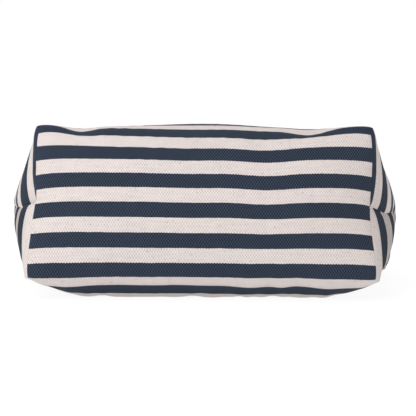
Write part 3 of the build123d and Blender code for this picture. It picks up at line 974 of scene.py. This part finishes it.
def build_handle(name, ends, loop, height_at, material):
    """One strap from sewn end to sewn end, bending over the mouth's edge."""
    line, bank = handle_line(height_at)
    ahead = np.gradient(line, axis=0)
    ahead /= np.linalg.norm(ahead, axis=1, keepdims=True)
    level = np.cross((0, 0, 1), ahead)
    level /= np.linalg.norm(level, axis=1, keepdims=True)
    above = np.cross(ahead, level)
    outer = level * np.cos(bank)[:, None] + above * np.sin(bank)[:, None]
    top = above * np.cos(bank)[:, None] - level * np.sin(bank)[:, None]
    half_width = STRAP_HALF_WIDTH
    half_thick = STRAP_HALF_THICK
    flat = np.linspace(-1, 1, 13)
    rim = [(1.0, 0.0)]
    section = [(a * 0.975, 1.0 - 0.25 * abs(a) ** 8) for a in flat] + rim
    section += [(a * 0.975, -1.0 + 0.25 * abs(a) ** 8) for a in flat[::-1]] + [(-1.0, 0.0)]
    count = len(section)
    distance = lengths(line)
    points, faces, uvs = [], [], []
    for i, place in enumerate(line):
        buckle = 0.12 * MM * sin(distance[i] / (9 * MM))
        for a, b in section:
            points.append(place + outer[i] * a * half_width + top[i] * (b * half_thick + buckle))
    for i in range(len(line) - 1):
        for k in range(count):
            m = (k + 1) % count
            faces.append((i * count + k, (i + 1) * count + k, (i + 1) * count + m, i * count + m))
            ring = ((i, k), (i + 1, k), (i + 1, m), (i, m))
            uvs.extend((section[n][0] * half_width, distance[j]) for j, n in ring)
    for end, backwards in ((0, False), (len(line) - 1, True)):
        cap = [end * count + k for k in range(count)]
        cap_uv = [(a * half_width, distance[end] + b * half_thick) for a, b in section]
        faces.append(tuple(cap[::-1] if backwards else cap))
        uvs.extend(cap_uv[::-1] if backwards else cap_uv)
    strap = new_object(name, points, faces, uvs)
    set_material(strap, material)
    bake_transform(strap)
    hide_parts(ends, loop)


def droop(y):
    """Height of the upper strap's middle: level on the hem, then down on to the other strap."""
    on_hem = lip_top + 1.25 * MM
    lying = 4.05 * MM
    return on_hem + (lying - on_hem) * ease((y - mouth_y - 2 * MM) / (50 * MM))


def on_floor(y):
    """Height of the lower strap's middle: on the floor all the way."""
    return np.full(len(y), 1.22 * MM)


build_handle("upper_strap", "upper_handle_ends", "upper_handle", droop, navy_webbing)
build_handle("lower_strap", "lower_handle_ends", "lower_handle", on_floor, navy_webbing)
anchors = Stitches("anchor_stitching")
for x in (-75 * MM, 75 * MM):
    for z, out in ((lip_top + 2.45 * MM, 1), (0.25 * MM, -1)):
        low = (x - 12 * MM, mouth_y - 37 * MM, z)
        high = (x + 12 * MM, mouth_y - 5 * MM, z)
        anchors.box_and_cross(low, high, (0, 0, out))
anchors.make(cream_thread)


# ---- Metal, film and card ------------------------
def brass(name, colour, roughness):
    """Satin brass, handled: fine brushing, darker patches of patina and bright scratches."""
    shader = Shader(name, colour, roughness, metallic=1.0)
    place = shader.place()
    along_brush = shader.node("ShaderNodeMapping", {"Vector": place, "Scale": (900, 90, 900)})
    brushed = shader.noise(along_brush, 1.0, 3.0)
    patina = shader.ramp(shader.noise(place, 160.0, 4.0), 0.42, 0.68)
    slanted = {"Vector": place, "Scale": (3000, 140, 800), "Rotation": (0.3, 0.5, 0.8)}
    scratch = shader.ramp(shader.noise(shader.node("ShaderNodeMapping", slanted), 1.0, 1.0), 0.70, 0.74)
    tint = shader.mix(patina, colour, dim(colour, 0.55))
    tint = shader.mix(shader.times(scratch, 0.4), tint, (0.85, 0.76, 0.55))
    rough = shader.add(shader.ramp(brushed, 0.3, 0.7, roughness - 0.06, roughness + 0.08),
                       shader.times(patina, 0.15))
    return shader.finish(tint, rough, brushed, 0.03 * MM, 0.6)


def film(name):
    """Thin clear sheet, a little scuffed."""
    shader = Shader(name, (0.93, 0.94, 0.94), 0.08, alpha=0.28, ior=1.46, specular_ior_level=0.8)
    scuffs = shader.noise(shader.place(), 120.0, 4.0)
    return shader.finish(roughness=shader.ramp(scuffs, 0.4, 0.75, 0.05, 0.3), height=scuffs, depth=0.03 * MM)


def card_stock(name):
    """Buff card with faint ruled lines and grey fibres."""
    shader = Shader(name, (0.80, 0.74, 0.60), 0.8, specular_ior_level=0.3)
    place = shader.place()
    split = shader.tree.nodes.new("ShaderNodeSeparateXYZ")
    shader.tree.links.new(place, split.inputs[0])
    rule = shader.math("FRACT", shader.math("DIVIDE", split.outputs[1], 6.5 * MM))
    ruled = shader.ramp(shader.math("ABSOLUTE", shader.math("SUBTRACT", rule, 0.5)), 0.02, 0.04, 0.45, 0.0)
    fibre = shader.noise(place, 900.0, 4.0)
    paper = shader.mix(shader.ramp(fibre, 0.4, 0.7), (0.80, 0.74, 0.60), (0.72, 0.655, 0.52))
    tint = shader.mix(ruled, paper, (0.25, 0.33, 0.45))
    roughness = shader.ramp(fibre, 0.3, 0.7, 0.75, 0.9)
    return shader.finish(tint, roughness, fibre, 0.04 * MM, 0.5)


def bevel(node, width):
    modifier = nodes[node].modifiers.new("bevel", "BEVEL")
    modifier.width = width
    modifier.segments = 2
    modifier.limit_method = "ANGLE"
    modifier.angle_limit = radians(40)


zip_brass = brass("zip_metal", (0.60, 0.47, 0.27), roughness=0.34)
fitting_brass = brass("satin_brass", (0.66, 0.53, 0.30), roughness=0.28)
for node in ("upper_zip_teeth", "lower_zip_teeth", "zip_stops"):
    set_material(nodes[node], zip_brass)
for node in ("zip_slider", "zip_pull", "upper_hem_eyelets", "lower_hem_eyelets", "card_holder_frame"):
    set_material(nodes[node], fitting_brass)
for node, width in (("zip_slider", 0.2 * MM), ("zip_pull", 0.18 * MM)):
    bevel(node, width)
set_material(nodes["card_window"], film("window_film"))
set_material(nodes["address_card"], card_stock("card"))


# ---- Stage, light and camera ------------------------
def white(name, colour, glow):
    shader = Shader(name, colour, 0.85, specular_ior_level=0.1)
    shader.surface.inputs["Emission Color"].default_value = (1, 1, 1, 1)
    shader.surface.inputs["Emission Strength"].default_value = glow
    fine = shader.noise(shader.place(), 40.0)
    return shader.finish(roughness=shader.ramp(fine, 0.3, 0.7, 0.8, 0.9))


lit_white = white("lit_white", (0.12, 0.12, 0.12), glow=0.90)
floor = new_object("floor", [(-6, -4, 0), (6, -4, 0), (6, 3, 0), (-6, 3, 0)], [(0, 1, 2, 3)])
backdrop = new_object("backdrop", [(-6, 3, 0), (6, 3, 0), (6, 3, 5), (-6, 3, 5)], [(0, 1, 2, 3)])
for stage_piece in (floor, backdrop):
    set_material(stage_piece, lit_white)
    stage_piece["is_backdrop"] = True

world = bpy.data.worlds.new("studio")
world.use_nodes = True
world.node_tree.nodes["Background"].inputs["Color"].default_value = (1, 1, 1, 1)
world.node_tree.nodes["Background"].inputs["Strength"].default_value = 0.62
bpy.context.scene.world = world
bpy.context.scene.view_settings.view_transform = "Standard"


def area_light(name, place, target, size, power):
    data = bpy.data.lights.new(name, "AREA")
    data.shape = "DISK"
    data.size = size
    data.energy = power
    lamp = bpy.data.objects.new(name, data)
    bpy.context.scene.collection.objects.link(lamp)
    lamp.location = place
    lamp.rotation_euler = (Vector(target) - Vector(place)).to_track_quat("-Z", "Y").to_euler()


area_light("key_light", (-0.62, -1.1, 0.88), (0, -0.2, 0.08), size=0.8, power=10)
area_light("top_light", (0.1, 0.1, 2.2), (0, 0, 0), size=2.4, power=2.0)


def place_camera(place, yaw, pitch, roll, lens):
    """Looks along +Y, turned by small angles: yaw to the left, pitch up, and roll lifting the right side."""
    right = Vector((cos(yaw), sin(yaw), 0))
    ahead = Vector((-sin(yaw), cos(yaw), 0))
    up = Vector((0, 0, 1))
    ahead, up = cos(pitch) * ahead + sin(pitch) * up, cos(pitch) * up - sin(pitch) * ahead
    right, up = cos(roll) * right + sin(roll) * up, cos(roll) * up - sin(roll) * right
    data = bpy.data.cameras.new("camera")
    data.lens = lens
    camera = bpy.data.objects.new("camera", data)
    bpy.context.scene.collection.objects.link(camera)
    camera.matrix_world = Matrix.Translation(place) @ Matrix((right, up, -ahead)).transposed().to_4x4()
    bpy.context.scene.camera = camera


place_camera((7.06 * MM, front_y - 0.8, 0.124), yaw=0.0043, pitch=-0.0565, roll=0.005, lens=84.0)

low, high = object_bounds()
